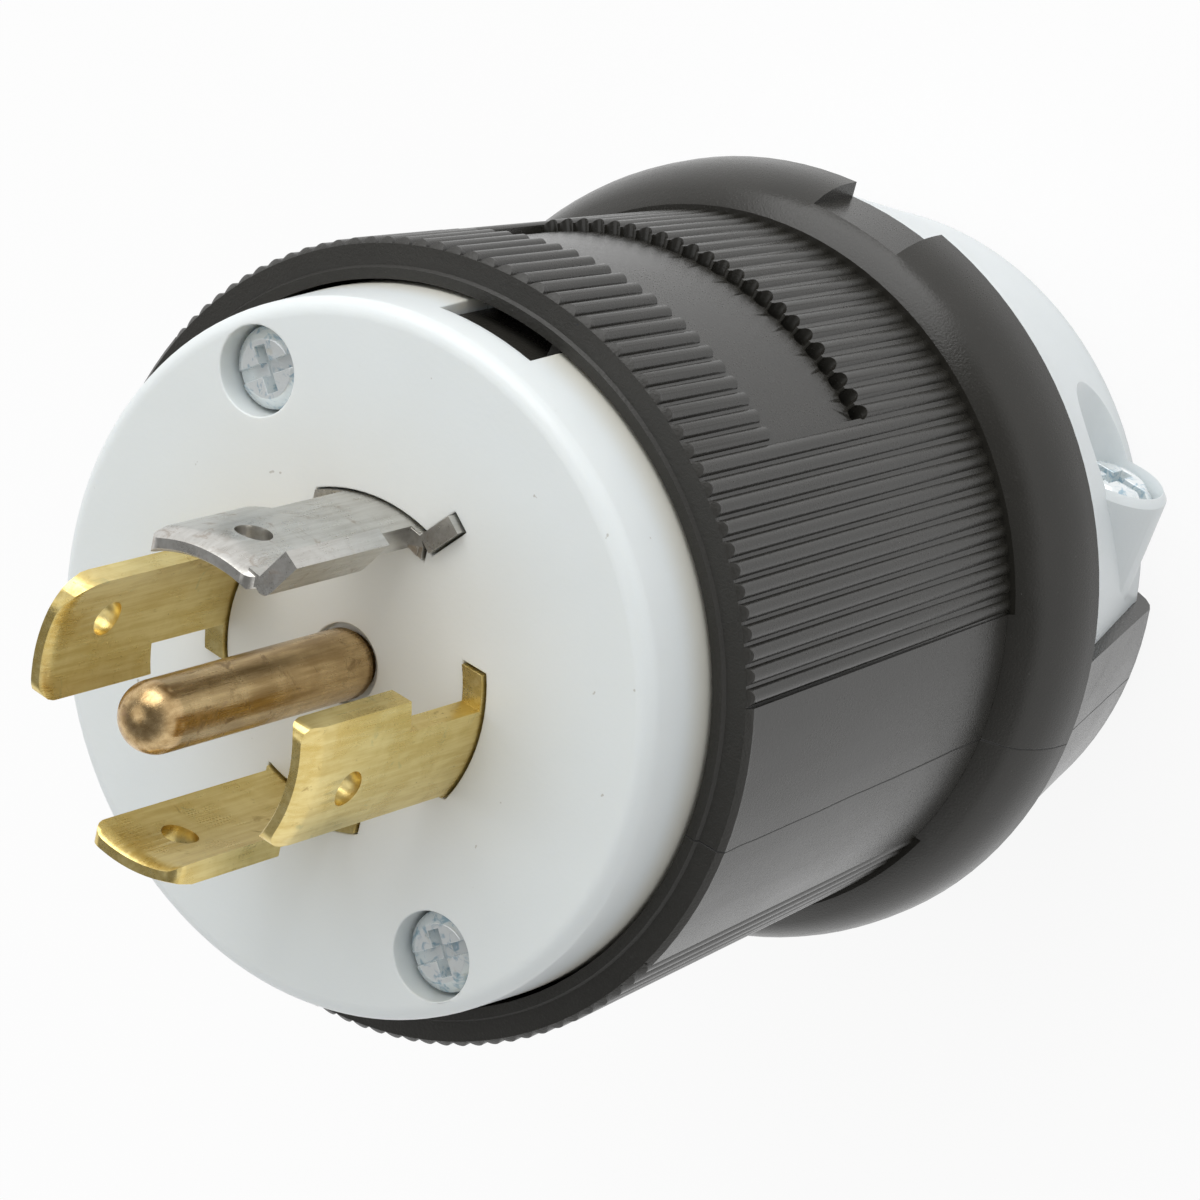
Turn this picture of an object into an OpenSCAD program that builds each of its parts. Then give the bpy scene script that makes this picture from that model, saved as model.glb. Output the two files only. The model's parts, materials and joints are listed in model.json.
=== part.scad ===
// Five-wire locking power plug, 20 A size: four curved blades round a ground pin.
// Stands on its cord end, blades up.  Millimetres.

/* [Face] */
// height of the white face above the floor
face_z = 67.4; // [60:0.1:80]
// thickness of the face disc
face_thick = 9.0; // [6:0.1:12]
// radius of the face where it stands proud of the housing
face_r = 24.1; // [22:0.05:24.2]
// rounding of the face edge
face_edge = 1.2; // [0.4:0.1:2]
// radius of the screw circle
screw_circle = 20.0; // [18:0.1:20.6]
// angle of the first face screw from the clamp side
screw_phi = 43.5; // [36:0.5:50]

/* [Blades] */
// outer radius of the blade circle
blade_r = 11.3; // [10.5:0.05:12.5]
// blade sheet thickness
blade_t = 1.5; // [1.2:0.05:1.8]
// height of the blade tips above the face
blade_h = 18.8; // [16:0.1:21]
// half width of a blade head
head_w = 4.25; // [3.4:0.05:4.6]
// half width of the narrower blade's head
slim_w = 3.6; // [3:0.05:4.2]
// half width of a blade neck on its notched side
neck_w = 2.3; // [1.5:0.05:2.8]
// height where the locking notch ends and the head begins
notch_h = 7.9; // [6:0.1:9]
// radius of the hole in each head
blade_hole = 1.25; // [0.8:0.05:1.6]
// height of that hole above the face
hole_h = 13.4; // [11:0.1:15]
// outer radius of the neutral blade
neutral_r = 11.55; // [11:0.05:12]
// height of the neutral blade above the face
neutral_h = 18.0; // [15:0.1:20]
// length of the outward leg on the neutral blade
leg_len = 2.75; // [2:0.05:3.1]
// ground pin radius
pin_r = 2.4; // [2.2:0.05:2.5]
// ground pin height above the face
pin_h = 22.0; // [20:0.1:26]

/* [Housing] */
// height of the housing front rim
rim_z = 61.0; // [59.5:0.1:62.5]
// housing radius at the front rim
body_r1 = 27.25; // [26.6:0.05:28.2]
// housing radius where the flange begins
body_r0 = 25.4; // [25.2:0.05:26]
// height where the flange begins
flange_top = 24.6; // [23.6:0.1:25.6]
// radius of the flange
flange_r = 28.6; // [28.3:0.1:30]
// height of the flange underside
flange_z = 17.4; // [17:0.1:17.8]
// angle between neighbouring grip ribs
rib_pitch = 2.93; // [2.8:0.01:3.4]
// number of ribs in each of the two fields
rib_count = 47; // [41:2:47]
// rib radius
rib_r = 0.6; // [0.4:0.05:0.65]
// half angle of the bare label panel
panel_phi = 33.2; // [24:0.2:36]
// lower end of the label panel
panel_z0 = 38.0; // [36:0.1:40]
// upper end of the label panel
panel_z1 = 50.5; // [48:0.1:52]

/* [Cord end] */
// radius of the cord passage
cord_r = 11.0; // [8:0.1:12]
// height of the split between housing and clamp above the axis
split_y = 5.5; // [4:0.1:7]
// distance of the clamp screws from the axis
clamp_x = 19.4; // [18.6:0.1:20]
// height of the clamp screws above the floor
clamp_z = 6.4; // [6:0.1:8]

/* [Hidden] */
$fn = 72;
slip = 0.3;              // clearance between moulded pieces
slot_gap = 0.12;         // clearance round a blade in the face
rim_wall = 2.65;
bore_r = body_r1 - rim_wall;
block_r = bore_r - slip;
face_low = face_z - face_thick;
block_top = face_low;
block_h = 9.4;
block_z = block_top - block_h;
pole_z = block_z + 4.6;
cavity_r = bore_r - 2.3;
wiring_z = flange_top + 0.4;
funnel_h = 15;
funnel_r = cord_r + 4;
key_r = bore_r - 1.6;
key_wall = 0.42;
win_z = rim_z + 2.9;
key_phi = 1.2;
key_half = 8.8;
neck_r1 = flange_r - 0.5;
neck_r0 = neck_r1 - 3.3;
clamp_step = 0.7;
ear_r = 4.1;
ear_y = 14.5;
grip_h = 1.4;            // ridges of the clamp that hold the cord
blade_ri = blade_r - blade_t;
pin_low_r = pin_r - 0.45;
collar_r = 3.6;
collar_h = 1.6;
strap_t = 1.2;
strap_half = 3.8;
tab_h = 6.6;
plate_t = 1.2;
plate_half = 5;
plate_h = 6.2;
plate_y = blade_r + 2.1;
wire_r = 1.75;           // wire screw: shank, then head
wire_head_r = 3.1;
wire_head_h = 2.1;
face_shank_r = 1.7;      // face screw: shank, head, depth of its head in the face
face_head_r = 2.8;
face_head_h = 2.2;
face_sink = 3.2;
insert_r = 2.92;
insert_h = 7;
clamp_shank_r = 1.95;    // clamp screw: shank, head, place of the head's seat
clamp_head_r = 3.2;
clamp_head_h = 2.1;
clamp_seat = 12.8;
nut_half = 3.5;
nut_t = 3.0;
nut_y = -4.0;
drive_w = 0.9;           // width of the driver slots
bead_r = 0.56;           // pits along the lower edge of the label panel
phi_neutral = 10;
phi_x = 90.5;
phi_y = 187.5;
phi_z = 272.4;
phi_ground = 321;
poles = [phi_neutral, phi_x, phi_y, phi_z];
taper = atan((body_r1 - body_r0) / (rim_z - flange_top));
function body_at(z) = body_r0 + (body_r1 - body_r0) * (z - flange_top) / (rim_z - flange_top);
function arc_pts(cx, cy, r, a0, a1, n) =
  [for (i = [0:n]) let (a = a0 + (a1 - a0) * i / n) [cx + r * cos(a), cy + r * sin(a)]];

// sheet outline standing up in the XZ plane, pushed out along Y
module upright(y0, y1) {
  translate([0, y1, 0]) rotate([90, 0, 0]) linear_extrude(y1 - y0) children();
}

// flat ring sector, phi measured from +Y
module sector(r0, r1, z0, z1, phi_mid, phi_half) {
  rotate([0, 0, 90 + phi_mid - phi_half]) rotate_extrude(angle = 2 * phi_half)
    translate([r0, z0]) square([r1 - r0, z1 - z0]);
}

// outline of a blade: tail, shoulder at the face, notched neck, head with rounded corners
module blade_outline(w, h, corner) {
  top = face_z + h;
  union() {
    translate([-w - slip, pole_z - 2.6]) square([2 * w + 2 * slip, face_z + slip - pole_z + 2.6]);
    translate([-neck_w, face_z - 1]) square([neck_w + w, notch_h + 2]);
    polygon(concat(
      [[-w, face_z + notch_h], [w, face_z + notch_h]],
      arc_pts(w - corner, top - corner, corner, 0, 90, 5),
      arc_pts(1.0 - w, top - 1.0, 1.0, 90, 180, 4)));
  }
}

// radial section of a blade with outer radius r, its tip coined thinner
module blade_section(r, h) {
  top = face_z + h;
  polygon([[r - blade_t, block_z - 9], [r, block_z - 9], [r, top - 1.9], [r - 0.28, top - 0.55], [r - 0.5, top],
    [r - blade_t + 0.35, top], [r - blade_t + 0.12, top - 0.4], [r - blade_t, top - 1.2]]);
}

module phase_blade(w, r, h, corner) {
  difference() {
    intersection() {
      rotate_extrude() blade_section(r, h);
      upright(r / 2, r + 2) blade_outline(w, h, corner);
    }
    translate([0.5, r / 2, face_z + hole_h]) rotate([-90, 0, 0]) cylinder(h = r, r = blade_hole);
    translate([0, r / 2, pole_z]) rotate([-90, 0, 0]) cylinder(h = r, r = wire_r + 0.05);
  }
}

// plan of the leg that bends outward along one edge of the neutral blade
module leg_plan(turn) {
  translate([head_w + 0.15, neutral_r - 0.95]) rotate(turn) square([blade_t - 0.2, leg_len]);
  translate([head_w, neutral_r]) polygon([[-0.75, -1.85], [0.65, -1.6], [0.25, -0.95], [-0.75, -0.65]]);
}

module neutral_blade() {
  difference() {
    phase_blade(head_w, neutral_r, neutral_h, 1.0);
    // inside of the bend, and the neck cut back below it
    translate([head_w - 0.75, neutral_r - 6.55, face_z + 0.4]) linear_extrude(neutral_h + 2)
      polygon([[0, 0], [4, 0], [4, 4.9], [1.45, 4.9], [0, 4.5]]);
    translate([head_w - 0.65, neutral_r - 6.55, face_z + 0.6]) cube([5, 9, notch_h - 1]);
  }
  translate([0, 0, face_z + notch_h]) linear_extrude(neutral_h - notch_h - 0.5) {
    leg_plan(-36);
    translate([head_w + 0.6, neutral_r - 1.42]) circle(r = 0.62);
  }
  translate([0, 0, face_low + 1]) linear_extrude(face_thick - 0.3) leg_plan(-43);
}

module pin() {
  union() {
    translate([0, 0, face_z]) cylinder(h = pin_h - pin_r, r = pin_r);
    translate([0, 0, block_z + strap_t]) cylinder(h = face_z - block_z - strap_t, r = pin_low_r);
    translate([0, 0, face_z + pin_h - pin_r]) sphere(r = pin_r);
    translate([0, 0, block_z + 2 * strap_t]) cylinder(h = collar_h, r = collar_r);
  }
}

// strap under the pin collar with an upright tab for the ground wire
module strap() {
  difference() {
    union() {
      translate([0.8 - strap_half, 0.2 - collar_r, block_z + strap_t])
        cube([2 * strap_half - 1.6, blade_r + collar_r - 0.2, strap_t]);
      translate([-strap_half, blade_ri, block_z + strap_t]) cube([2 * strap_half, blade_t, tab_h]);
    }
    translate([0, 0, block_z]) cylinder(h = 4 * strap_t, r = pin_low_r + 0.05);
    translate([0, blade_r / 2, pole_z]) rotate([-90, 0, 0]) cylinder(h = blade_r, r = wire_r + 0.05);
  }
}

// clamping plate with a lip that turns in along its lower edge
module wire_plate(w) {
  difference() {
    union() {
      translate([-w, plate_y, pole_z + 0.1 - plate_h / 2]) cube([2 * w, plate_t, plate_h]);
      translate([-w, plate_y - 0.7, pole_z + 0.1 - plate_h / 2]) cube([2 * w, 0.8, 0.9]);
    }
    translate([0, plate_y - 1, pole_z]) rotate([-90, 0, 0]) cylinder(h = plate_t + 2, r = wire_r + slip);
  }
}

// slot across a screw head and a short cross arm, cut down from the head's top
module drive_cut(r, top, deep) {
  translate([-r - 1, -drive_w / 2, top - deep]) cube([2 * r + 2, drive_w, deep + 2]);
  translate([-drive_w / 2, -0.58 * r, top - 1.25 * deep]) cube([drive_w, 1.16 * r, deep + 2]);
}

module wire_screw() {
  translate([0, plate_y + plate_t, pole_z]) rotate([-90, 0, 0]) difference() {
    union() {
      cylinder(h = wire_head_h, r = wire_head_r);
      translate([0, 0, blade_ri + 0.1 - plate_y - plate_t])
        cylinder(h = plate_y + plate_t - blade_ri, r = wire_r);
    }
    drive_cut(wire_head_r, wire_head_h, 1.0);
  }
}

// plan of the opening a blade passes through, g all round
module slot_plan(w, r, g) {
  intersection() {
    difference() {
      circle(r = r + g);
      circle(r = r - blade_t - g);
    }
    translate([-w - slip - g, 0]) square([2 * (w + slip + g), r + 2 * g]);
  }
}

// blade n of four: neutral, x, y, z
module slot_cut(n, g, h) {
  rotate([0, 0, poles[n]]) linear_extrude(h)
    slot_plan(n == 2 ? slim_w : head_w, n == 0 ? neutral_r : blade_r, g);
}

// keyway that drops over the key inside the housing rim
module keyway(z0, z1) {
  sector(key_r - 0.15, bore_r + 1, z0, z1, key_phi, key_half + 0.3);
}

module face_disc() {
  difference() {
    rotate_extrude() polygon(concat(
      [[0, face_low], [block_r, face_low], [block_r, rim_z - 0.2]],
      arc_pts(face_r - face_edge, face_z - face_edge, face_edge, 0, 90, 6),
      [[0, face_z]]));
    for (n = [0:3]) translate([0, 0, face_low - 1]) slot_cut(n, slot_gap, face_thick + 2);
    rotate([0, 0, phi_neutral]) translate([0, 0, face_low - 1]) linear_extrude(face_thick + 2)
      translate([head_w + 0.15, neutral_r - 0.95]) rotate(-43) translate([-slot_gap, -0.4])
        square([blade_t - 0.2 + 2 * slot_gap, leg_len + 0.4 + slot_gap]);
    translate([0, 0, face_low - 1]) cylinder(h = face_thick + 2, r = pin_low_r + 0.1);
    // shallow recess round the foot of the pin
    translate([0, 0, face_z - 0.7]) cylinder(h = 2, r = pin_r + slip);
    for (s = [0, 180]) rotate([0, 0, screw_phi + s]) translate([0, screw_circle, 0]) {
      translate([0, 0, face_low - 1]) cylinder(h = face_thick + 2, r = face_shank_r + 0.25);
      translate([0, 0, face_z - face_sink]) cylinder(h = face_sink + 1, r = face_head_r + 0.25);
    }
    keyway(face_low - 1, win_z);
  }
}

module block() {
  difference() {
    translate([0, 0, block_z]) cylinder(h = block_h, r = block_r);
    for (n = [0:3]) translate([0, 0, block_z + 3]) slot_cut(n, 0.2, block_h);
    for (p = poles) rotate([0, 0, p]) {
      translate([-plate_half - 0.2, blade_r + 0.2, block_z - 1])
        cube([2 * plate_half + 0.4, block_r, block_h - 0.4]);
      translate([-plate_half - 0.2, blade_ri - 1.5, pole_z - 2.6])
        cube([2 * plate_half + 0.4, 4, block_top + 1.2 - pole_z]);
    }
    rotate([0, 0, phi_ground]) {
      translate([-strap_half - 0.4, blade_ri - slip, block_z - 1])
        cube([2 * strap_half + 0.8, block_r, block_h - 0.4]);
      translate([0.6 - strap_half, -collar_r, block_z - 1])
        cube([2 * strap_half - 1.2, blade_r + collar_r, 2 * strap_t + 1 + slip]);
    }
    translate([0, 0, block_z - 1]) cylinder(h = 2 * strap_t + collar_h + 1 + slip, r = collar_r + slip);
    translate([0, 0, block_z - 1]) cylinder(h = block_h + 2, r = pin_low_r + 0.15);
    for (s = [0, 180]) rotate([0, 0, screw_phi + s]) translate([0, screw_circle, block_z - 1])
      cylinder(h = block_h + 2, r = face_shank_r + 0.25);
    keyway(block_z - 1, block_top + 1);
  }
}

// one grip rib lying on the taper between two heights
module rib(z0, z1) {
  translate([0, body_at(z0) - rib_r + 0.1, z0]) rotate([-taper, 0, 0]) cylinder(h = z1 - z0, r = rib_r, $fn = 24);
}

module rib_field(with_panel) {
  for (i = [0:rib_count - 1]) {
    a = (i - (rib_count - 1) / 2) * rib_pitch;
    rotate([0, 0, a]) {
      if (with_panel && abs(a) < panel_phi) {
        rib(flange_top - 1.4, panel_z0);
        rib(panel_z1, rim_z);
      } else {
        rib(flange_top - 1.4, rim_z);
      }
    }
  }
}

// outside of body, flare and flange as one turned solid
module shell_outside() {
  rotate_extrude() polygon(concat(
    [[0, flange_z], [flange_r, flange_z], [flange_r, flange_z + 1.0]],
    [for (i = [1:6]) let (t = i / 6) [flange_r + (body_r0 - flange_r) * (1 - sqrt(1 - t * t * 0.92)) / 0.72,
      flange_z + 1 + (flange_top - flange_z - 1) * t]],
    [[body_r0, flange_top], [body_r1, rim_z - 0.9], [body_r1 - 0.35, rim_z - 0.45],
     [bore_r + 0.9, rim_z - 0.3], [bore_r + 0.75, rim_z], [0, rim_z]]));
}

// ring that cuts the rib ends back to the sloping front of the rim
module rim_trim() {
  rotate_extrude() polygon([[bore_r, rim_z - 0.25], [body_r1 - 0.35, rim_z - 0.45],
    [body_r1 + 0.15, rim_z - 1.0], [body_r1 + 3, rim_z - 1.0], [body_r1 + 3, rim_z + 2], [bore_r, rim_z + 2]]);
}

// rib valley cut: thin tapered ring sector that runs out towards the flange
module valley(phi_mid, z0, z1, d) {
  half = rib_count * rib_pitch / 2;
  rotate([0, 0, 90 + phi_mid - half]) rotate_extrude(angle = 2 * half)
    polygon([[body_at(z0) - 0.1, z0], [body_at(z0) + 3, z0], [body_at(z1) + 3, z1], [body_at(z1) - d, z1]]);
}

module panel_cut() {
  rotate([0, 0, 90 - panel_phi]) rotate_extrude(angle = 2 * panel_phi)
    polygon([[body_at(panel_z0) - 0.75, panel_z0], [body_at(panel_z0) + 3, panel_z0],
      [body_at(panel_z1) + 3, panel_z1], [body_at(panel_z1) - 0.75, panel_z1]]);
}

// row of small pits where the ribs stop at the lower edge of the panel
module bead_row() {
  last = floor(panel_phi / rib_pitch - 0.01);
  for (i = [-last:last]) rotate([0, 0, i * rib_pitch])
    translate([0, body_at(panel_z0) - 1.75, panel_z0 - 0.1]) rotate([-90, 0, 0])
      cylinder(h = 3, r = bead_r, $fn = 24);
}

// cord passage, and the funnel from it up to the wiring space
module funnel() {
  translate([0, 0, -1]) cylinder(h = wiring_z - 5, r = cord_r);
  translate([0, 0, wiring_z - funnel_h]) cylinder(h = funnel_h + 0.01, r1 = funnel_r, r2 = cavity_r);
}

// turned neck below the flange; r1 at the flange, r0 near the floor
module neck(r1, r0) {
  rotate_extrude() polygon(concat([[0, 0], [r0 - 3, 0]],
    [for (i = [1:5]) [r0 - 3 + 3 * sin(i * 18), 2.6 * (1 - cos(i * 18))]],
    [[r1, flange_z], [0, flange_z]]));
}

module nut_pocket(s) {
  translate([s * clamp_x - nut_half - 0.2, nut_y - 0.2, -1])
    cube([2 * nut_half + 0.4, nut_t + 0.4, clamp_z + nut_half + 1.1]);
}

module housing() {
  difference() {
    union() {
      difference() {
        union() {
          difference() {
            shell_outside();
            for (p = [0, 180]) valley(p, flange_top - 0.3, rim_z + 1, 0.35);
            panel_cut();
          }
          difference() {
            union() {
              rib_field(true);
              rotate([0, 0, 180]) rib_field(false);
            }
            rim_trim();
          }
          difference() {
            neck(neck_r1, neck_r0);
            translate([-40, split_y, -1]) cube([80, 40, flange_z + 1]);
          }
        }
        // bore for face and terminal block, then the wiring space
        translate([0, 0, block_z]) cylinder(h = rim_z - block_z + 1, r = bore_r);
        difference() {
          translate([0, 0, wiring_z]) cylinder(h = block_z - wiring_z + 0.5, r = cavity_r);
          for (s = [0, 180]) rotate([0, 0, screw_phi + s])
            translate([0, screw_circle, wiring_z + 3]) cylinder(h = block_z - wiring_z - 3, r = insert_r + 1.48);
        }
        funnel();
        // flange notch over the clamp
        sector(flange_r - 1.1, flange_r + 2, flange_z - 1, flange_top - 0.6, -1.6, 7.8);
        bead_row();
      }
      // key inside the rim, its upper part a wall with a deep gap behind it
      difference() {
        sector(key_r, bore_r + 0.4, block_z - 0.5, rim_z - 0.6, key_phi, key_half);
        sector(key_r + key_wall, bore_r + 1, rim_z - 6.5, rim_z + 1, key_phi + 1.4, key_half - 0.4);
      }
      sector(key_r, key_r + key_wall, rim_z - 7, win_z - 0.2, key_phi, key_half);
    }
    for (s = [0, 180]) rotate([0, 0, screw_phi + s]) translate([0, screw_circle, block_z]) {
      translate([0, 0, -13]) cylinder(h = 13.5, r = face_shank_r + 0.25);
      translate([0, 0, -insert_h]) cylinder(h = rim_z - block_z + insert_h + 1, r = insert_r + 0.03);
    }
    for (s = [-1, 1]) {
      translate([s * clamp_x, -14, clamp_z]) rotate([-90, 0, 0]) cylinder(h = 40, r = clamp_shank_r + 0.15);
      nut_pocket(s);
    }
  }
}

// ear round the clamp screw
module ear(s) {
  translate([s * clamp_x, split_y, clamp_z]) rotate([-90, 0, 0]) {
    cylinder(h = ear_y - split_y, r = ear_r);
    translate([0, 0, ear_y - split_y]) cylinder(h = 0.6, r1 = ear_r, r2 = ear_r - 0.5);
  }
}

module cord_clamp() {
  difference() {
    union() {
      intersection() {
        difference() {
          neck(neck_r1 - clamp_step, neck_r0 - clamp_step - 0.5);
          funnel();
        }
        translate([-40, split_y, 0]) cube([80, 40, flange_z - slip]);
      }
      for (s = [-1, 1]) intersection() {
        ear(s);
        translate([-40, split_y, 0]) cube([80, 40, flange_z - slip]);
      }
      // two gripping ridges across the cord
      for (z = [2.2, 6.6]) translate([0, 0, z]) intersection() {
        difference() {
          cylinder(h = grip_h, r = cord_r + 1);
          translate([0, 0, -1]) cylinder(h = grip_h + 2, r = cord_r - 1.1);
        }
        translate([2 - cord_r, split_y, -1]) cube([2 * cord_r - 4, 2 * cord_r, grip_h + 2]);
      }
    }
    for (s = [-1, 1]) {
      translate([s * clamp_x, 0, clamp_z]) rotate([-90, 0, 0]) {
        cylinder(h = 40, r = clamp_shank_r + 0.25);
        translate([0, 0, clamp_seat]) cylinder(h = 1.6, r = clamp_head_r + 0.2);
        // the recess flares out through the dome
        translate([0, 0, clamp_seat + 1.5]) cylinder(h = 9, r1 = clamp_head_r + 0.2, r2 = clamp_head_r + 2.7);
      }
    }
  }
}

module face_screw() {
  translate([0, screw_circle, 0]) difference() {
    union() {
      translate([0, 0, face_z - face_sink]) {
        cylinder(h = face_head_h - 0.7, r = face_head_r);
        translate([0, 0, face_head_h - 0.7]) cylinder(h = 0.7, r1 = face_head_r, r2 = face_head_r - 0.8);
      }
      translate([0, 0, block_z - insert_h - 2])
        cylinder(h = face_z - face_sink - block_z + insert_h + 2.1, r = face_shank_r);
    }
    drive_cut(face_head_r, face_z - face_sink + face_head_h, 0.9);
  }
}

module insert() {
  translate([0, screw_circle, block_z - insert_h]) difference() {
    union() {
      cylinder(h = insert_h, r = insert_r - 0.22);
      for (i = [0:2]) translate([0, 0, i * 0.37 * insert_h]) cylinder(h = 0.23 * insert_h, r = insert_r);
    }
    translate([0, 0, -1]) cylinder(h = insert_h + 2, r = face_shank_r + 0.04);
  }
}

module clamp_screw(s) {
  translate([s * clamp_x, 0, clamp_z]) rotate([-90, 0, 0]) difference() {
    union() {
      translate([0, 0, clamp_seat]) {
        cylinder(h = clamp_head_h - 0.8, r = clamp_head_r);
        translate([0, 0, clamp_head_h - 0.8]) cylinder(h = 0.8, r1 = clamp_head_r, r2 = clamp_head_r - 0.9);
      }
      translate([0, 0, nut_y - 5]) cylinder(h = clamp_seat - nut_y + 5.1, r = clamp_shank_r);
    }
    drive_cut(clamp_head_r, clamp_seat + clamp_head_h, 0.9);
  }
}

module clamp_nut(s) {
  translate([s * clamp_x, nut_y, clamp_z]) difference() {
    translate([-nut_half, 0, -nut_half]) cube([2 * nut_half, nut_t, 2 * nut_half]);
    translate([0, -1, 0]) rotate([-90, 0, 0]) cylinder(h = nut_t + 2, r = clamp_shank_r + 0.04);
  }
}

module blade_x() { color("#c9a84c") rotate([0, 0, phi_x]) phase_blade(head_w, blade_r, blade_h, 2.6); }
module blade_y() { color("#c9a84c") rotate([0, 0, phi_y]) phase_blade(slim_w, blade_r, blade_h, 1.0); }
module blade_z() { color("#c9a84c") rotate([0, 0, phi_z]) phase_blade(head_w, blade_r, blade_h, 1.2); }
module blade_neutral() { color("#b9b3a6") rotate([0, 0, phi_neutral]) neutral_blade(); }

color("#e2e4e0") face_disc();  // face
color("#dcded9") block();  // terminal_block
blade_x();
blade_y();
blade_z();
blade_neutral();
color("#8f7240") pin();  // ground_pin
color("#b08d45") rotate([0, 0, phi_ground]) strap();  // ground_strap
color("#b08d45") rotate([0, 0, phi_x]) wire_plate(plate_half);  // plate_x
color("#b08d45") rotate([0, 0, phi_y]) wire_plate(plate_half);  // plate_y
color("#b08d45") rotate([0, 0, phi_z]) wire_plate(plate_half);  // plate_z
color("#b9b3a6") rotate([0, 0, phi_neutral]) wire_plate(plate_half);  // plate_neutral
color("#5f7d4a") rotate([0, 0, phi_ground]) wire_plate(plate_half - 1);  // plate_ground
color("#c9a84c") rotate([0, 0, phi_x]) wire_screw();  // wire_screw_x
color("#c9a84c") rotate([0, 0, phi_y]) wire_screw();  // wire_screw_y
color("#c9a84c") rotate([0, 0, phi_z]) wire_screw();  // wire_screw_z
color("#c4c6c8") rotate([0, 0, phi_neutral]) wire_screw();  // wire_screw_neutral
color("#4f7d3c") rotate([0, 0, phi_ground]) wire_screw();  // wire_screw_ground
color("#37352f") housing();
color("#dfe2e2") cord_clamp();
color("#b8c4ca") rotate([0, 0, screw_phi]) face_screw();  // face_screw_upper
color("#b8c4ca") rotate([0, 0, screw_phi + 180]) face_screw();  // face_screw_lower
color("#b08d45") rotate([0, 0, screw_phi]) insert();  // insert_upper
color("#b08d45") rotate([0, 0, screw_phi + 180]) insert();  // insert_lower
color("#b8c4ca") clamp_screw(-1);  // clamp_screw_left
color("#b8c4ca") clamp_screw(1);  // clamp_screw_right
color("#aeb4b8") clamp_nut(-1);  // clamp_nut_left
color("#aeb4b8") clamp_nut(1);  // clamp_nut_right
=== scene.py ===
import bpy
import bmesh
import json
from math import radians
from mathutils import Matrix, Vector


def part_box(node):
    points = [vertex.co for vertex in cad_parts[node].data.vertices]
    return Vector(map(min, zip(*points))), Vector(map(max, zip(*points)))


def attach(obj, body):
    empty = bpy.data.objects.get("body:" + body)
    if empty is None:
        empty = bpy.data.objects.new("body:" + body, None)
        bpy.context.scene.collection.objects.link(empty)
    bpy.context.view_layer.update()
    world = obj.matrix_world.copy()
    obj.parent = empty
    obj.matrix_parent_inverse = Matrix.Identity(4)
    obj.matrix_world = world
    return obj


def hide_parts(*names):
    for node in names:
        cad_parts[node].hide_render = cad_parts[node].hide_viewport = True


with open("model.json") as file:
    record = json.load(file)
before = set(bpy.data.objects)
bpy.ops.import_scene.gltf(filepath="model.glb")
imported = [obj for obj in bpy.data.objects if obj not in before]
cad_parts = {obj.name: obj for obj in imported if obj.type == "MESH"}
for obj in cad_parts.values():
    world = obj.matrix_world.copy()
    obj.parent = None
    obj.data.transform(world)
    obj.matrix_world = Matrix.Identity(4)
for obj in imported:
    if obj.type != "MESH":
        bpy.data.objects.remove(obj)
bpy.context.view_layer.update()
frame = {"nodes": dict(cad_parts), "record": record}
mm = 0.001


# ---- shader helpers: a wire is an output socket that can be added, multiplied and so on

class Wire:
    def __init__(self, graph, socket):
        self.graph = graph
        self.socket = socket

    def math(self, operation, *others):
        values = dict(enumerate((self,) + others))
        return self.graph.node("ShaderNodeMath", {"operation": operation}, values)

    def __add__(self, other):
        return self.math("ADD", other)

    def __sub__(self, other):
        return self.math("SUBTRACT", other)

    def __mul__(self, other):
        return self.math("MULTIPLY", other)

    def __pow__(self, other):
        return self.math("POWER", other)

    def __abs__(self):
        return self.math("ABSOLUTE")

    def __rsub__(self, other):
        return self.graph.node("ShaderNodeMath", {"operation": "SUBTRACT"}, {0: other, 1: self})

    __radd__ = __add__


class Graph:
    def __init__(self, name, world=False):
        self.owner = (bpy.data.worlds if world else bpy.data.materials).new(name)
        self.owner.use_nodes = True
        self.tree = self.owner.node_tree
        self.tree.nodes.clear()
        self.end = self.tree.nodes.new("ShaderNodeOutputWorld" if world else "ShaderNodeOutputMaterial")

    def node(self, kind, settings=None, inputs=None, output=0):
        made = self.tree.nodes.new(kind)
        for key, value in (settings or {}).items():
            setattr(made, key, value)
        for key, value in (inputs or {}).items():
            if isinstance(value, Wire):
                self.tree.links.new(value.socket, made.inputs[key])
            else:
                made.inputs[key].default_value = value
        return Wire(self, made.outputs[output])

    def finish(self, shader):
        self.tree.links.new(shader.socket, self.end.inputs["Surface"])
        return self.owner

    # object coordinates in millimetres, stretched per axis
    def place(self, stretch=(1, 1, 1)):
        spot = self.node("ShaderNodeTexCoord", output=3)
        return self.node("ShaderNodeVectorMath", {"operation": "MULTIPLY"},
                         {0: spot, 1: tuple(1000 * s for s in stretch)})

    def axes(self, vector):
        parts = self.node("ShaderNodeSeparateXYZ", None, {0: vector})
        outs = parts.socket.node.outputs
        return [Wire(self, outs[i]) for i in range(3)]

    def noise(self, vector, scale, detail=3.0, rough=0.55, warp=0.0):
        return self.node("ShaderNodeTexNoise", None, {
            "Vector": vector, "Scale": scale, "Detail": detail, "Roughness": rough, "Distortion": warp})

    def ease(self, value, low, high, start=0.0, stop=1.0):
        return self.node("ShaderNodeMapRange", {"interpolation_type": "SMOOTHSTEP"}, {
            "Value": value, "From Min": low, "From Max": high, "To Min": start, "To Max": stop})

    def shade(self, colour):
        return colour if isinstance(colour, Wire) else (*colour, 1)

    def mix(self, factor, a, b):
        return self.node("ShaderNodeMix", {"data_type": "RGBA"},
                         {0: factor, 6: self.shade(a), 7: self.shade(b)}, output=2)

    def bump(self, height, distance, strength=1.0, under=None):
        links = {"Height": height, "Distance": distance, "Strength": strength}
        if under is not None:
            links["Normal"] = under
        return self.node("ShaderNodeBump", None, links)


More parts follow.
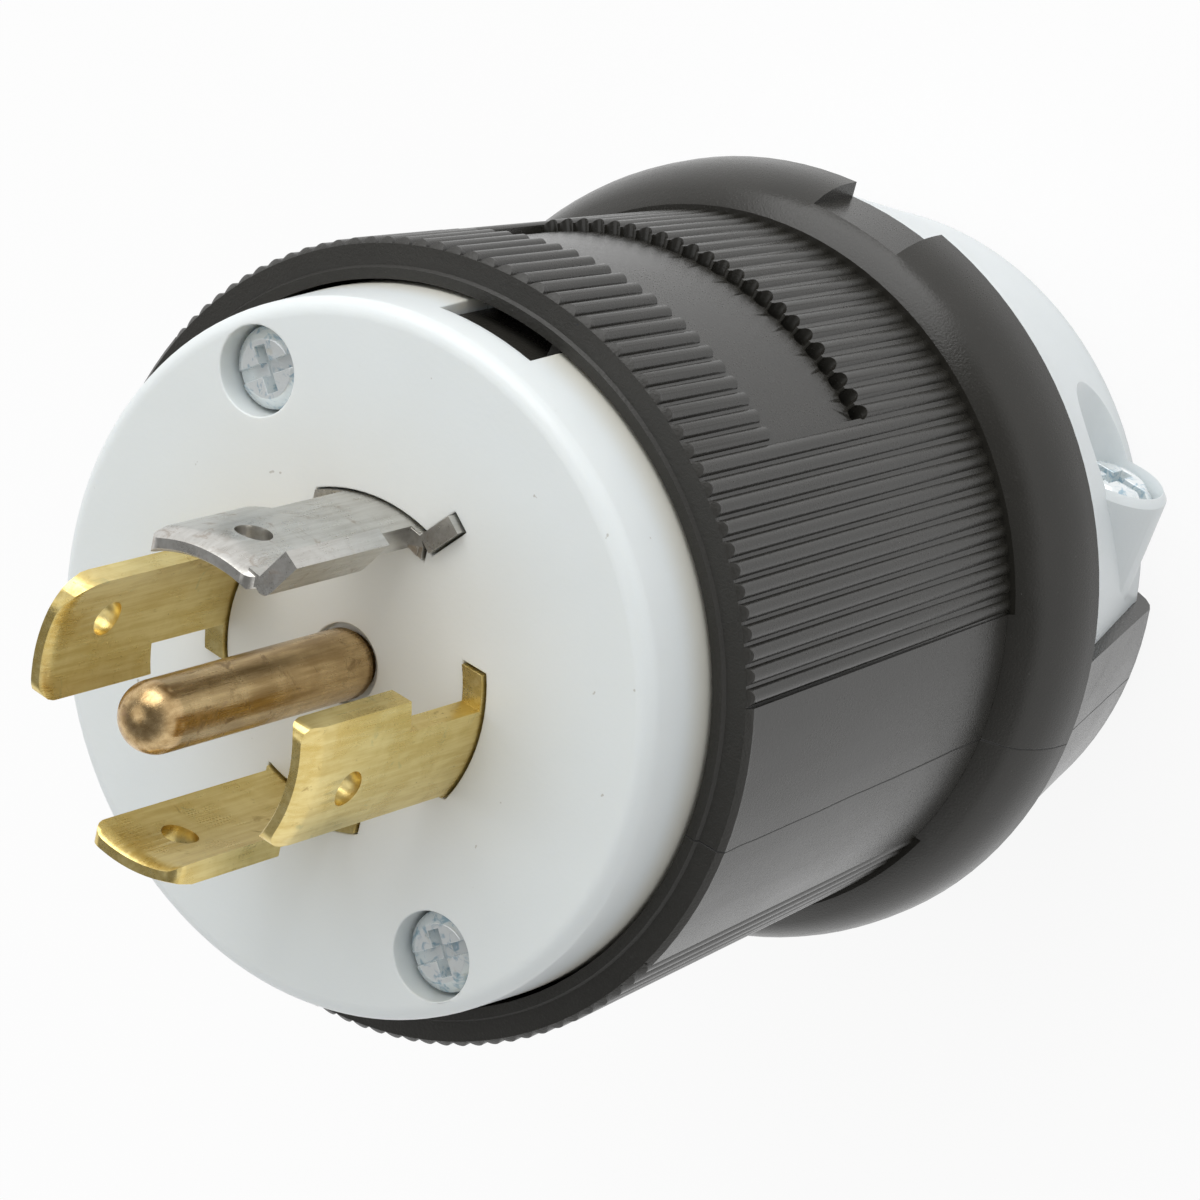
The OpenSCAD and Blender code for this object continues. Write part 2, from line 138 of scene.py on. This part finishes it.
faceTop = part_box("face")[1].z * 1000  # millimetres, as in the shaders

# moulded dark nylon: matt spark-eroded grain, faint flow patches, a seam where the mould halves meet, with
# painted shade darkening its groove
blackNylon = dict(
    deep=(0.0165, 0.0155, 0.0125), light=(0.026, 0.0245, 0.0205),
    rubbed=(0.06, 0.058, 0.054), speck=(0.12, 0.12, 0.115), seamPaintedShade=(0.006, 0.006, 0.006),
    roughness=0.40, panelRoughness=0.25,
    grainScale=5.5, grainDepth=0.055 * mm, patchScale=0.22, rubScale=1.6, speckScale=3.1,
    seamInner=23.5, seamOuter=24.5, seamHalf=0.09, seamWander=0.35, seamDepth=0.12 * mm,
    rimFrom=7.6, rimFull=7.0)  # how far below the face the rim's rougher front starts and is full


def darkNylonFinish():
    s = blackNylon
    g = Graph("darkNylon")
    spot = g.place()
    x, y, z = g.axes(spot)
    grain = g.noise(spot, s["grainScale"], 2, 0.6)
    patches = g.noise(spot, s["patchScale"], 3, 0.5)
    rub = g.ease(g.noise(spot, s["rubScale"], 5, 0.7), 0.60, 0.78)
    wander = (g.noise(g.place((0.15, 0, 0.15)), 1.0, 2) - 0.5) * s["seamWander"]
    outside = g.ease(abs(x), s["seamInner"], s["seamOuter"])
    seam = (1 - g.ease(abs(y + wander), 0, s["seamHalf"])) * outside
    specks = g.ease(g.noise(spot, s["speckScale"], 1, 0.5), 0.80, 0.84)
    colour = g.mix(patches, s["deep"], s["light"])
    colour = g.mix(rub * 0.35, colour, s["rubbed"])
    colour = g.mix(specks * 0.5, colour, s["speck"])
    # painted shade: the seam's groove is darkened almost to black
    colour = g.mix(seam * 0.85, colour, s["seamPaintedShade"])
    # the moulded sides are smoother than the spark-eroded front of the rim
    front = g.ease(z, faceTop - s["rimFrom"], faceTop - s["rimFull"])
    rough = s["panelRoughness"] + front * (s["roughness"] - s["panelRoughness"]) \
        + (patches - 0.5) * 0.10 + (grain - 0.5) * 0.16 + seam * 0.3
    grained = g.bump(grain * (0.45 + front * 0.9), s["grainDepth"], 0.6)
    normal = g.bump(seam * -1, s["seamDepth"], 0.8, grained)
    return g.finish(g.node("ShaderNodeBsdfPrincipled", None, {
        "Base Color": colour, "Roughness": rough, "Normal": normal, "Specular IOR Level": 0.5}))


# pale nylon of the face: cool, a little cloudy, warmer at the foot of its skirt, and darker and warmer round the
# blades, which is painted shade and a painted reflection of the brass
faceNylon = dict(
    cool=(0.775, 0.815, 0.82), cloud=(0.735, 0.775, 0.775), roughness=0.33, glow=0.22, depth=1.3 * mm,
    paintedShadeAndGlow=(0.76, 0.745, 0.68), paintedGlowInner=7, paintedGlowOuter=21,
    skirt=(0.66, 0.635, 0.545), skirtFoot=6.6, skirtTop=3.4, skirtInner=23.2, skirtOuter=24.0,
    speck=(0.30, 0.26, 0.20), speckScale=1.15)

# the clamp's nylon is a shade darker and has none of the face's painted shade and brass reflection in its middle
clampNylon = dict(cool=(0.74, 0.785, 0.80), cloud=(0.70, 0.74, 0.75), roughness=0.36, glow=0.2, depth=1.2 * mm)

# what both pale nylons share
paleDetail = dict(cloudScale=0.12, grainScale=2.6, grainDepth=0.03 * mm, dirtScale=0.9, dirt=(0.45, 0.42, 0.36),
                  radius=(1.0, 0.95, 0.85))


def paleNylonFinish(name, s, centre=True):
    d = paleDetail
    g = Graph(name)
    spot = g.place()
    x, y, z = g.axes(spot)
    away = (x * x + y * y) ** 0.5
    clouds = g.noise(spot, d["cloudScale"], 4, 0.55, 0.4)
    grain = g.noise(spot, d["grainScale"], 3, 0.5)
    dirt = g.ease(g.noise(spot, d["dirtScale"], 6, 0.7), 0.66, 0.80)
    colour = g.mix(clouds, s["cool"], s["cloud"])
    if centre:
        # painted shade and painted reflection of the brass: darker and warmer towards the blades in the middle
        # of the face
        colour = g.mix((1 - g.ease(away, s["paintedGlowInner"], s["paintedGlowOuter"])) * 0.65, colour, s["paintedShadeAndGlow"])
        low = 1 - g.ease(z, faceTop - s["skirtFoot"], faceTop - s["skirtTop"])
        colour = g.mix(low * g.ease(away, s["skirtInner"], s["skirtOuter"]) * 0.8, colour, s["skirt"])
        specks = g.ease(g.noise(spot, s["speckScale"], 2, 0.5), 0.775, 0.80)
        colour = g.mix(specks * 0.45, colour, s["speck"])
    colour = g.mix(dirt * 0.12, colour, d["dirt"])
    rough = s["roughness"] + (clouds - 0.5) * 0.12 + dirt * 0.1
    normal = g.bump(grain + clouds * 2, d["grainDepth"], 0.35)
    return g.finish(g.node("ShaderNodeBsdfPrincipled", {"subsurface_method": "RANDOM_WALK"}, {
        "Base Color": colour, "Roughness": rough, "Normal": normal, "Subsurface Weight": s["glow"],
        "Subsurface Radius": d["radius"], "Subsurface Scale": s["depth"], "Specular IOR Level": 0.5}))


# brass and bronze: faint draw lines along the plug, stains, verdigris, a few pits
sheetBrass = dict(bright=(0.86, 0.71, 0.32), dull=(0.68, 0.51, 0.17), stain=(0.34, 0.22, 0.06),
                  verdigris=(0.30, 0.36, 0.20), roughness=0.30, stainFrom=0.60, metallic=1.0)
platedBrass = dict(bright=(0.66, 0.65, 0.62), dull=(0.50, 0.485, 0.45), stain=(0.30, 0.23, 0.17),
                   verdigris=(0.36, 0.30, 0.24), roughness=0.30, stainFrom=0.57, metallic=1.0)
drawnBronze = dict(bright=(0.70, 0.51, 0.27), dull=(0.40, 0.265, 0.12), stain=(0.17, 0.10, 0.04),
                   verdigris=(0.42, 0.26, 0.18), roughness=0.26, stainFrom=0.55, metallic=1.0)
stampedBrass = dict(bright=(0.72, 0.56, 0.28), dull=(0.55, 0.41, 0.18), stain=(0.3, 0.2, 0.08),
                    verdigris=(0.3, 0.33, 0.2), roughness=0.36, stainFrom=0.62, metallic=1.0)

# what the brasses share
metalDetail = dict(streakScale=2.2, fineScale=9.0, cloudScale=0.32, stainScale=0.55, stainBlend=0.13,
                   greenScale=0.4, pitScale=2.4, depth=0.02 * mm)


def metalFinish(name, s):
    d = metalDetail
    g = Graph(name)
    spot = g.place()
    streaks = g.noise(g.place((1, 1, 0.07)), d["streakScale"], 4, 0.6)
    fine = g.noise(g.place((1, 1, 0.03)), d["fineScale"], 3, 0.6)
    cloud = g.noise(spot, d["cloudScale"], 5, 0.6, 0.6)
    stained = g.noise(spot, d["stainScale"], 6, 0.68, 0.8)
    stain = g.ease(stained, s["stainFrom"], s["stainFrom"] + d["stainBlend"])
    green = g.ease(g.noise(spot, d["greenScale"], 4, 0.6, 1.1), 0.62, 0.74)
    pits = g.ease(g.noise(spot, d["pitScale"], 2, 0.5), 0.74, 0.78)
    tone = g.ease(streaks * 0.55 + cloud * 0.45, 0.34, 0.66)
    colour = g.mix(tone, s["dull"], s["bright"])
    colour = g.mix(stain * 0.55, colour, s["stain"])
    colour = g.mix(green * 0.35, colour, s["verdigris"])
    colour = g.mix(pits * 0.7, colour, s["stain"])
    rough = s["roughness"] + (cloud - 0.5) * 0.22 + (fine - 0.5) * 0.16 + stain * 0.14
    normal = g.bump(fine + streaks * 0.8 - pits * 0.6, d["depth"], 0.5)
    return g.finish(g.node("ShaderNodeBsdfPrincipled", None, {
        "Base Color": colour, "Roughness": rough, "Normal": normal, "Metallic": s["metallic"]}))


# zinc plating: bright, bluish, with a few brownish iridescent patches
zincPlate = dict(bright=(0.86, 0.90, 0.91), blue=(0.40, 0.55, 0.64), tarnish=(0.62, 0.60, 0.46),
                 cloudScale=1.1, fineScale=7.0, tarnishScale=0.9, roughness=0.20, metallic=0.55, depth=0.03 * mm)


def zincFinish():
    s = zincPlate
    g = Graph("zincPlate")
    spot = g.place()
    cloud = g.noise(spot, s["cloudScale"], 4, 0.6, 1.0)
    fine = g.noise(spot, s["fineScale"], 3, 0.6)
    tarnish = g.ease(g.noise(spot, s["tarnishScale"], 3, 0.6), 0.60, 0.72)
    colour = g.mix(g.ease(cloud, 0.50, 0.68), s["bright"], s["blue"])
    colour = g.mix(tarnish * 0.4, colour, s["tarnish"])
    rough = s["roughness"] + (cloud - 0.5) * 0.2 + (fine - 0.5) * 0.1
    normal = g.bump(fine + cloud, s["depth"], 0.5)
    return g.finish(g.node("ShaderNodeBsdfPrincipled", None, {
        "Base Color": colour, "Roughness": rough, "Normal": normal, "Metallic": s["metallic"]}))


# green lacquer of the ground terminal's screw, worn through to brass
greenScrew = dict(lacquer=(0.045, 0.19, 0.07), bare=(0.34, 0.38, 0.24), wearScale=1.5, grainScale=6,
                  roughness=0.36, metallic=0.75, depth=0.02 * mm)


def greenFinish():
    s = greenScrew
    g = Graph("greenScrew")
    spot = g.place()
    wear = g.ease(g.noise(spot, s["wearScale"], 5, 0.7), 0.56, 0.70)
    colour = g.mix(wear, s["lacquer"], s["bare"])
    rough = s["roughness"] + wear * 0.1
    normal = g.bump(g.noise(spot, s["grainScale"], 3), s["depth"], 0.5)
    return g.finish(g.node("ShaderNodeBsdfPrincipled", None, {
        "Base Color": colour, "Roughness": rough, "Normal": normal, "Metallic": s["metallic"]}))


finishes = {
    "black_nylon": darkNylonFinish(),
    "white_nylon": paleNylonFinish("paleNylon", faceNylon),
    "clamp_nylon": paleNylonFinish("clampNylon", clampNylon, centre=False),
    "blade_brass": metalFinish("sheetBrass", sheetBrass),
    "nickel_brass": metalFinish("platedBrass", platedBrass),
    "bronze_brass": metalFinish("drawnBronze", drawnBronze),
    "terminal_brass": metalFinish("stampedBrass", stampedBrass),
    "zinc_steel": zincFinish(),
    "green_screw": greenFinish(),
}
slotOf = {part["node"]: part["material_slot"] for part in frame["record"]["subparts"]}
for nodeName, cadObject in frame["nodes"].items():
    cadObject.data.materials.clear()
    cadObject.data.materials.append(finishes[slotOf[nodeName]])
print("finishes made:", len(finishes))


# ---- pieces: each stands for one CAD solid, with its sharp edges rounded

softenedPieces = {
    "face": dict(name="faceDisc", width=0.22 * mm, steps=3),
    "housing": dict(name="housingShell", width=0.1 * mm, steps=2),
    "cord_clamp": dict(name="clampJaw", width=0.3 * mm, steps=3),
    "blade_x": dict(name="bladeLeft", width=0.16 * mm, steps=3),
    "blade_y": dict(name="bladeLower", width=0.16 * mm, steps=3),
    "blade_z": dict(name="bladeRight", width=0.16 * mm, steps=3),
    "blade_neutral": dict(name="bladeHooked", width=0.16 * mm, steps=3),
    "face_screw_upper": dict(name="faceScrewUpper", width=0.1 * mm, steps=2),
    "face_screw_lower": dict(name="faceScrewLower", width=0.1 * mm, steps=2),
    "clamp_screw_left": dict(name="clampScrewLeft", width=0.1 * mm, steps=2),
    "clamp_screw_right": dict(name="clampScrewRight", width=0.1 * mm, steps=2),
}
softening = dict(weld=0.0005 * mm, flatAngle=0.6, sharpAngle=30, bevelAngle=35)  # angles in degrees


def mergedMesh(node, name):
    bm = bmesh.new()
    bm.from_mesh(frame["nodes"][node].data)
    bmesh.ops.remove_doubles(bm, verts=bm.verts, dist=softening["weld"])
    bmesh.ops.dissolve_limit(bm, angle_limit=radians(softening["flatAngle"]), verts=bm.verts, edges=bm.edges)
    mesh = bpy.data.meshes.new(name)
    bm.to_mesh(mesh)
    bm.free()
    mesh.shade_smooth()
    mesh.set_sharp_from_angle(angle=radians(softening["sharpAngle"]))
    return mesh


def softenedCopy(node, name, width, steps):
    mesh = mergedMesh(node, name)
    piece = bpy.data.objects.new(name, mesh)
    bpy.context.scene.collection.objects.link(piece)
    mesh.materials.append(finishes[slotOf[node]])
    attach(piece, "root")
    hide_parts(node)
    rounding = piece.modifiers.new("edges", "BEVEL")
    rounding.width = width
    rounding.segments = steps
    rounding.limit_method = "ANGLE"
    rounding.angle_limit = radians(softening["bevelAngle"])
    rounding.harden_normals = False
    rounding.use_clamp_overlap = True
    # keeps large flats free of the bevel's shading
    flats = piece.modifiers.new("flats", "WEIGHTED_NORMAL")
    flats.weight = 100
    flats.keep_sharp = False


for nodeName, settings in softenedPieces.items():
    softenedCopy(nodeName, **settings)
print("softened copies made:", len(softenedPieces))


# ---- stage, light and camera

studio = dict(
    floorHalf=4.0, floorShade=0.86, floorGlow=0.9,
    skyLow=0.42, skyHigh=0.76, skyFrom=-0.7, skyTo=0.9, skyTilt=(0.2, 0.55, 0.6),
    horizon=1.0, ceiling=0.22, horizonTop=0.05, ceilingFrom=0.7)


def buildFloor():
    bm = bmesh.new()
    bmesh.ops.create_grid(bm, x_segments=1, y_segments=1, size=studio["floorHalf"])
    mesh = bpy.data.meshes.new("floor")
    bm.to_mesh(mesh)
    bm.free()
    floor = bpy.data.objects.new("floor", mesh)
    bpy.context.scene.collection.objects.link(floor)
    g = Graph("studioFloor")
    rays = g.node("ShaderNodeLightPath").socket.node.outputs
    seen, glossy, through = [Wire(g, rays[n]) for n in ("Is Camera Ray", "Is Glossy Ray", "Is Transmission Ray")]
    shown = seen.math("MAXIMUM", glossy).math("MAXIMUM", through)
    shade = g.node("ShaderNodeBsdfDiffuse", None, {"Color": (studio["floorShade"],) * 3 + (1,)})
    glow = g.node("ShaderNodeEmission", None, {"Color": (1, 1, 1, 1), "Strength": 1.0})
    floor.data.materials.append(g.finish(g.node("ShaderNodeMixShader", None, {
        0: shown * studio["floorGlow"], 1: shade, 2: glow})))


def buildSky():
    w = Graph("studioSky", world=True)
    rays = w.node("ShaderNodeLightPath").socket.node.outputs
    seen = Wire(w, rays["Is Camera Ray"])
    glossy = Wire(w, rays["Is Glossy Ray"])
    x, y, z = w.axes(w.node("ShaderNodeTexCoord", output=0))
    tiltX, tiltY, tiltZ = studio["skyTilt"]
    level = w.ease(z * tiltZ + y * tiltY - x * tiltX, studio["skyFrom"], studio["skyTo"],
                   studio["skyLow"], studio["skyHigh"])
    # what shines back from surfaces: a bright horizon under a darker ceiling
    mirrored = w.ease(z, studio["horizonTop"], studio["ceilingFrom"], studio["horizon"], studio["ceiling"])
    lit = level + glossy * (mirrored - level)
    sky = w.node("ShaderNodeBackground", None, {"Color": (1, 1, 1, 1), "Strength": seen + (1 - seen) * lit})
    bpy.context.scene.world = w.finish(sky)


# the camera looks down over the face from the clamp side
view = dict(spot=(0.163126, 0.149134, 0.345108), ahead=(-0.42989, -0.39512, -0.81183),
            up=(-0.48766, 0.85834, -0.15952), lens=162.52, sensor=36, nearest=0.01)


def addCamera():
    ahead = Vector(view["ahead"]).normalized()
    right = ahead.cross(Vector(view["up"])).normalized()
    up = right.cross(ahead)
    camera = bpy.data.cameras.new("camera")
    camera.lens = view["lens"]
    camera.sensor_width = view["sensor"]
    camera.clip_start = view["nearest"]
    holder = bpy.data.objects.new("camera", camera)
    turn = Matrix((right, up, -ahead)).transposed()
    holder.matrix_world = Matrix.Translation(view["spot"]) @ turn.to_4x4()
    bpy.context.scene.collection.objects.link(holder)
    bpy.context.scene.camera = holder
    return ahead, right, up


# panels hang by the camera's own directions, in metres from the middle of the plug
middle = Vector((0, 0, 0.05))
keyPanel = dict(up=0.55, back=0.35, left=0.1, width=0.6, height=0.5, power=2.3)
fillPanel = dict(up=0.1, back=0.5, left=0.6, width=0.5, height=0.6, power=0.8)


def addPanel(name, s, spot):
    light = bpy.data.lights.new(name, "AREA")
    light.shape = "RECTANGLE"
    light.size = s["width"]
    light.size_y = s["height"]
    light.energy = s["power"]
    lamp = bpy.data.objects.new(name, light)
    aim = (middle - spot).to_track_quat("-Z", "Y")
    lamp.matrix_world = Matrix.Translation(spot) @ aim.to_matrix().to_4x4()
    bpy.context.scene.collection.objects.link(lamp)


buildFloor()
buildSky()
ahead, right, up = addCamera()
keySpot = middle + up * keyPanel["up"] - ahead * keyPanel["back"] - right * keyPanel["left"]
fillSpot = middle - right * fillPanel["left"] - ahead * fillPanel["back"] + up * fillPanel["up"]
addPanel("keyPanel", keyPanel, keySpot)
addPanel("fillPanel", fillPanel, fillSpot)
bpy.context.scene.view_settings.view_transform = "Standard"
print("stage, light and camera set")
